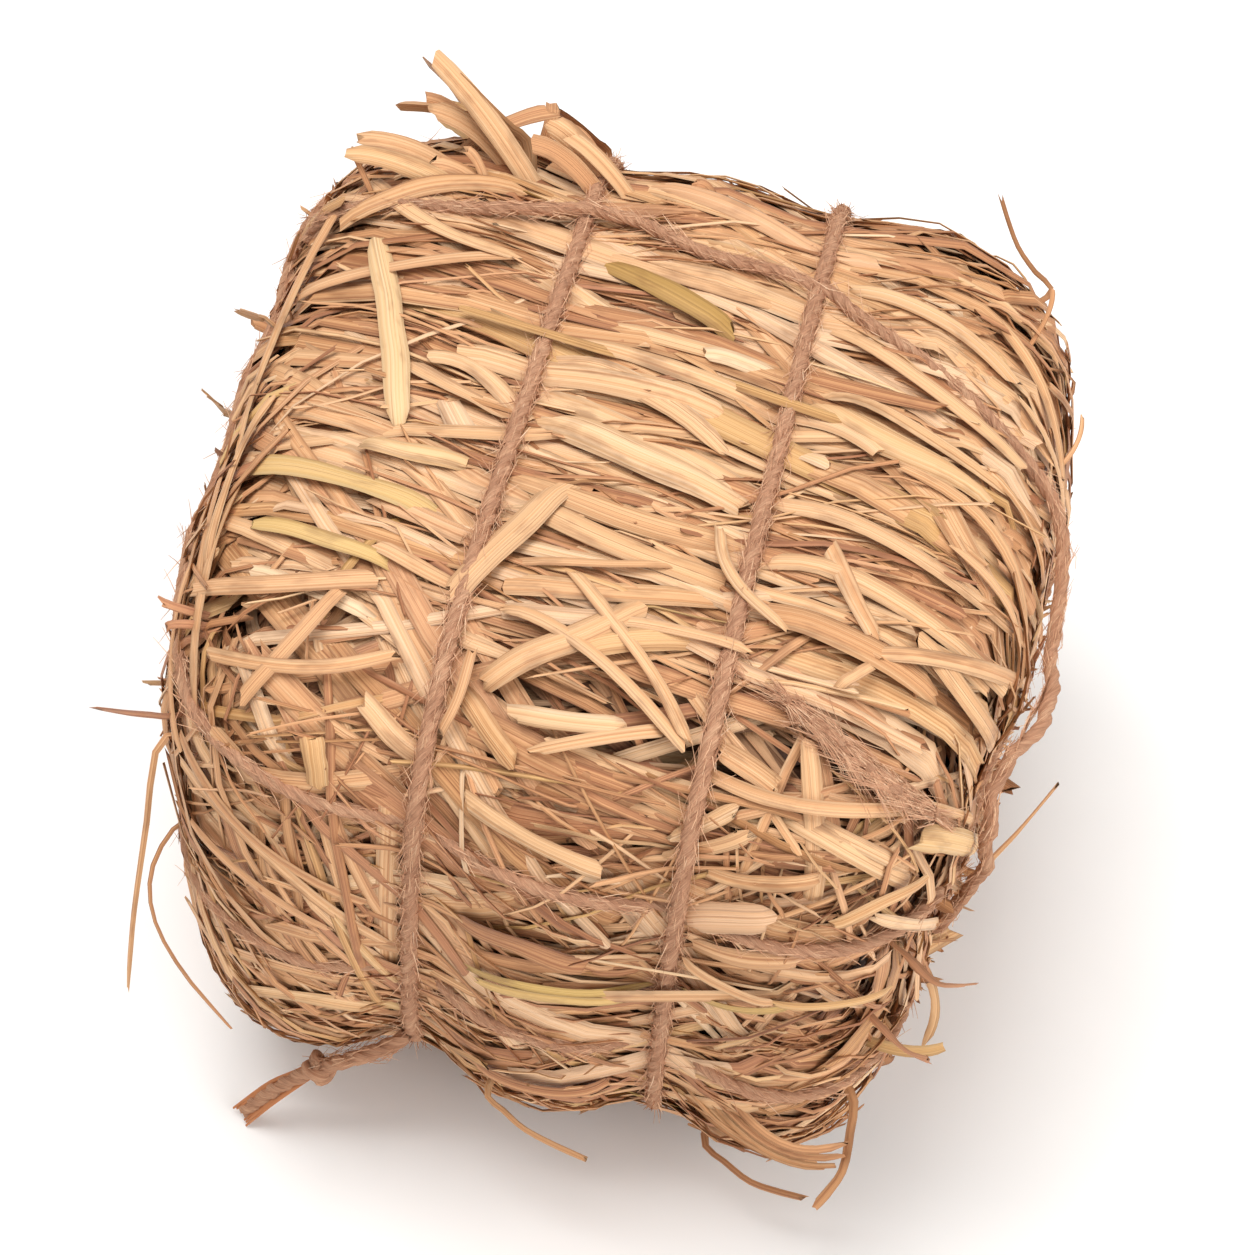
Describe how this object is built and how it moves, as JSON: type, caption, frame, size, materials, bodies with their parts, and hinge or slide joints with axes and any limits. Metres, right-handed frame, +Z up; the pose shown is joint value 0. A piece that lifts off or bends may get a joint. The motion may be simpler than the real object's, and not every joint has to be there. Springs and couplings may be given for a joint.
{
  "type": "straw bale",
  "caption": "Small block-shaped bale of rice straw, tied by hand round its girth, waist and foot with jute twine, with loose straws lying on it and sticking out.",
  "frame": {"origin": "middle of the flat foot that the bale rests on", "axes": "+X along the straws to the right end, +Y to the back, +Z up"},
  "size_m": [0.1744, 0.206, 0.14],
  "materials": {
    "packed_straw": "dry pressed rice straw, matt, with dark gaps between the blades",
    "loose_straw": "dry flattened straw blades with a faint sheen along the fibres",
    "jute": "twisted natural jute twine with stray fibres"
  },
  "bodies": {
    "root": {"straw_bale": "packed_straw", "girth_twine_left": "jute", "girth_twine_right": "jute", "waist_twine": "jute", "foot_twine": "jute", "cross_twine": "jute", "corner_twine": "jute", "tail_twine": "jute", "tail_knot": "jute", "tail_tip": "jute", "straw_yellow_left": "loose_straw", "straw_folded_leg": "loose_straw", "straw_broad_middle": "loose_straw", "straw_cream_broad": "loose_straw", "straw_over_girth": "loose_straw", "straw_olive": "loose_straw", "straw_green_left": "loose_straw", "straw_yellow_thin": "loose_straw", "straw_beige_slanted": "loose_straw", "straw_right_back": "loose_straw", "straw_right_front": "loose_straw", "straw_far_top": "loose_straw", "straw_left_back": "loose_straw", "straw_front_cream": "loose_straw", "straw_front_low": "loose_straw", "stray_left_bent": "loose_straw", "stray_left_orange": "loose_straw", "stray_left_hair": "loose_straw", "stray_front_low": "loose_straw", "stray_front_middle": "loose_straw", "stray_front_right": "loose_straw", "stray_right_stick": "loose_straw", "stray_right_flat": "loose_straw", "stray_right_leaf": "loose_straw", "stray_top_thin": "loose_straw", "tuft_broad": "loose_straw", "tuft_low": "loose_straw", "tuft_side": "loose_straw", "tuft_back": "loose_straw", "stub_left_back": "loose_straw", "stub_left_middle": "loose_straw", "stub_back_left": "loose_straw", "stub_back_right": "loose_straw"}
  },
  "joints": []
}
